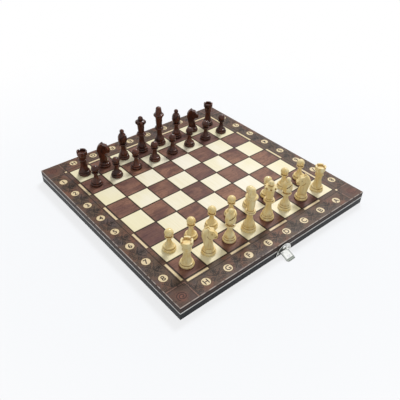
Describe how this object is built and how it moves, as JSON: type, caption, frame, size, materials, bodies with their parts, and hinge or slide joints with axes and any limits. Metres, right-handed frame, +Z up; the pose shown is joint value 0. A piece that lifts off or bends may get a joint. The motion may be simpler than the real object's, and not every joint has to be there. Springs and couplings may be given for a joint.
{
  "type": "folding chess and backgammon board",
  "caption": "Folding wooden game board: chess field outside, backgammon points in the trays inside, butt hinges, a hasp clasp and turned chessmen that lift off.",
  "frame": {"origin": "middle of the open board, on the plane of the rims that it lies on", "axes": "+X along the fold from file h to file a, +Y from the near half with the clasp to the far half, +Z up"},
  "size_m": [0.29, 0.307, 0.075],
  "materials": {
    "stained_wood": "dark stain, satin lacquer",
    "light_veneer": "pale veneer, satin lacquer",
    "point_veneer": "stained veneer, satin lacquer",
    "hinge_steel": "plated, satin",
    "nickel": "bright nickel plate",
    "boxwood": "clear lacquer",
    "dark_turned_wood": "dark stain, gloss lacquer"
  },
  "bodies": {
    "near_half": {"near_panel": "stained_wood", "near_outer_rail": "stained_wood", "near_hinge_rail": "stained_wood", "near_left_rail": "stained_wood", "near_right_rail": "stained_wood", "near_light_squares": "light_veneer", "near_border_inlay": "light_veneer", "near_edge_line": "light_veneer", "near_points": "point_veneer", "near_screws": "nickel", "near_hinge_leaves": "hinge_steel", "hinge_pins": "hinge_steel", "clasp_plate": "nickel", "clasp_pin": "nickel"},
    "far_half": {"far_panel": "stained_wood", "far_outer_rail": "stained_wood", "far_hinge_rail": "stained_wood", "far_left_rail": "stained_wood", "far_right_rail": "stained_wood", "far_light_squares": "light_veneer", "far_border_inlay": "light_veneer", "far_edge_line": "light_veneer", "far_points": "point_veneer", "far_screws": "nickel", "far_hinge_leaves": "hinge_steel", "clasp_catch": "nickel"},
    "clasp_tongue": {"clasp_tongue": "nickel"},
    "light_king": {"light_king": "boxwood"},
    "light_queen": {"light_queen": "boxwood"},
    "light_rook_h": {"light_rook_h": "boxwood"},
    "light_rook_a": {"light_rook_a": "boxwood"},
    "light_knight_g": {"light_knight_g": "boxwood"},
    "light_knight_b": {"light_knight_b": "boxwood"},
    "light_bishop_f": {"light_bishop_f": "boxwood"},
    "light_bishop_c": {"light_bishop_c": "boxwood"},
    "light_pawn_h": {"light_pawn_h": "boxwood"},
    "light_pawn_g": {"light_pawn_g": "boxwood"},
    "light_pawn_f": {"light_pawn_f": "boxwood"},
    "light_pawn_e": {"light_pawn_e": "boxwood"},
    "light_pawn_d": {"light_pawn_d": "boxwood"},
    "light_pawn_c": {"light_pawn_c": "boxwood"},
    "light_pawn_b": {"light_pawn_b": "boxwood"},
    "light_pawn_a": {"light_pawn_a": "boxwood"},
    "dark_king": {"dark_king": "dark_turned_wood"},
    "dark_queen": {"dark_queen": "dark_turned_wood"},
    "dark_rook_h": {"dark_rook_h": "dark_turned_wood"},
    "dark_rook_a": {"dark_rook_a": "dark_turned_wood"},
    "dark_knight_g": {"dark_knight_g": "dark_turned_wood"},
    "dark_knight_b": {"dark_knight_b": "dark_turned_wood"},
    "dark_bishop_f": {"dark_bishop_f": "dark_turned_wood"},
    "dark_bishop_c": {"dark_bishop_c": "dark_turned_wood"},
    "dark_pawn_h": {"dark_pawn_h": "dark_turned_wood"},
    "dark_pawn_g": {"dark_pawn_g": "dark_turned_wood"},
    "dark_pawn_f": {"dark_pawn_f": "dark_turned_wood"},
    "dark_pawn_e": {"dark_pawn_e": "dark_turned_wood"},
    "dark_pawn_d": {"dark_pawn_d": "dark_turned_wood"},
    "dark_pawn_c": {"dark_pawn_c": "dark_turned_wood"},
    "dark_pawn_b": {"dark_pawn_b": "dark_turned_wood"},
    "dark_pawn_a": {"dark_pawn_a": "dark_turned_wood"}
  },
  "joints": [
    {"name": "board_fold", "type": "hinge", "parent": "near_half", "child": "far_half", "pos_m": [0, 0, -0.00005], "axis": [-1, 0, 0], "range_deg": [0, 180]},
    {"name": "clasp_swing", "type": "hinge", "parent": "near_half", "child": "clasp_tongue", "pos_m": [0, -0.14645, 0.0048], "axis": [1, 0, 0], "range_deg": [-80, 66.59]},
    {"name": "lift_light_king", "type": "slide", "parent": "near_half", "child": "light_king", "axis": [0, 0, 1], "range_m": [0, 0.07]},
    {"name": "lift_light_queen", "type": "slide", "parent": "near_half", "child": "light_queen", "axis": [0, 0, 1], "range_m": [0, 0.07]},
    {"name": "lift_light_rook_h", "type": "slide", "parent": "near_half", "child": "light_rook_h", "axis": [0, 0, 1], "range_m": [0, 0.07]},
    {"name": "lift_light_rook_a", "type": "slide", "parent": "near_half", "child": "light_rook_a", "axis": [0, 0, 1], "range_m": [0, 0.07]},
    {"name": "lift_light_knight_g", "type": "slide", "parent": "near_half", "child": "light_knight_g", "axis": [0, 0, 1], "range_m": [0, 0.07]},
    {"name": "lift_light_knight_b", "type": "slide", "parent": "near_half", "child": "light_knight_b", "axis": [0, 0, 1], "range_m": [0, 0.07]},
    {"name": "lift_light_bishop_f", "type": "slide", "parent": "near_half", "child": "light_bishop_f", "axis": [0, 0, 1], "range_m": [0, 0.07]},
    {"name": "lift_light_bishop_c", "type": "slide", "parent": "near_half", "child": "light_bishop_c", "axis": [0, 0, 1], "range_m": [0, 0.07]},
    {"name": "lift_light_pawn_h", "type": "slide", "parent": "near_half", "child": "light_pawn_h", "axis": [0, 0, 1], "range_m": [0, 0.07]},
    {"name": "lift_light_pawn_g", "type": "slide", "parent": "near_half", "child": "light_pawn_g", "axis": [0, 0, 1], "range_m": [0, 0.07]},
    {"name": "lift_light_pawn_f", "type": "slide", "parent": "near_half", "child": "light_pawn_f", "axis": [0, 0, 1], "range_m": [0, 0.07]},
    {"name": "lift_light_pawn_e", "type": "slide", "parent": "near_half", "child": "light_pawn_e", "axis": [0, 0, 1], "range_m": [0, 0.07]},
    {"name": "lift_light_pawn_d", "type": "slide", "parent": "near_half", "child": "light_pawn_d", "axis": [0, 0, 1], "range_m": [0, 0.07]},
    {"name": "lift_light_pawn_c", "type": "slide", "parent": "near_half", "child": "light_pawn_c", "axis": [0, 0, 1], "range_m": [0, 0.07]},
    {"name": "lift_light_pawn_b", "type": "slide", "parent": "near_half", "child": "light_pawn_b", "axis": [0, 0, 1], "range_m": [0, 0.07]},
    {"name": "lift_light_pawn_a", "type": "slide", "parent": "near_half", "child": "light_pawn_a", "axis": [0, 0, 1], "range_m": [0, 0.07]},
    {"name": "lift_dark_king", "type": "slide", "parent": "far_half", "child": "dark_king", "axis": [0, 0, 1], "range_m": [0, 0.07]},
    {"name": "lift_dark_queen", "type": "slide", "parent": "far_half", "child": "dark_queen", "axis": [0, 0, 1], "range_m": [0, 0.07]},
    {"name": "lift_dark_rook_h", "type": "slide", "parent": "far_half", "child": "dark_rook_h", "axis": [0, 0, 1], "range_m": [0, 0.07]},
    {"name": "lift_dark_rook_a", "type": "slide", "parent": "far_half", "child": "dark_rook_a", "axis": [0, 0, 1], "range_m": [0, 0.07]},
    {"name": "lift_dark_knight_g", "type": "slide", "parent": "far_half", "child": "dark_knight_g", "axis": [0, 0, 1], "range_m": [0, 0.07]},
    {"name": "lift_dark_knight_b", "type": "slide", "parent": "far_half", "child": "dark_knight_b", "axis": [0, 0, 1], "range_m": [0, 0.07]},
    {"name": "lift_dark_bishop_f", "type": "slide", "parent": "far_half", "child": "dark_bishop_f", "axis": [0, 0, 1], "range_m": [0, 0.07]},
    {"name": "lift_dark_bishop_c", "type": "slide", "parent": "far_half", "child": "dark_bishop_c", "axis": [0, 0, 1], "range_m": [0, 0.07]},
    {"name": "lift_dark_pawn_h", "type": "slide", "parent": "far_half", "child": "dark_pawn_h", "axis": [0, 0, 1], "range_m": [0, 0.07]},
    {"name": "lift_dark_pawn_g", "type": "slide", "parent": "far_half", "child": "dark_pawn_g", "axis": [0, 0, 1], "range_m": [0, 0.07]},
    {"name": "lift_dark_pawn_f", "type": "slide", "parent": "far_half", "child": "dark_pawn_f", "axis": [0, 0, 1], "range_m": [0, 0.07]},
    {"name": "lift_dark_pawn_e", "type": "slide", "parent": "far_half", "child": "dark_pawn_e", "axis": [0, 0, 1], "range_m": [0, 0.07]},
    {"name": "lift_dark_pawn_d", "type": "slide", "parent": "far_half", "child": "dark_pawn_d", "axis": [0, 0, 1], "range_m": [0, 0.07]},
    {"name": "lift_dark_pawn_c", "type": "slide", "parent": "far_half", "child": "dark_pawn_c", "axis": [0, 0, 1], "range_m": [0, 0.07]},
    {"name": "lift_dark_pawn_b", "type": "slide", "parent": "far_half", "child": "dark_pawn_b", "axis": [0, 0, 1], "range_m": [0, 0.07]},
    {"name": "lift_dark_pawn_a", "type": "slide", "parent": "far_half", "child": "dark_pawn_a", "axis": [0, 0, 1], "range_m": [0, 0.07]}
  ]
}
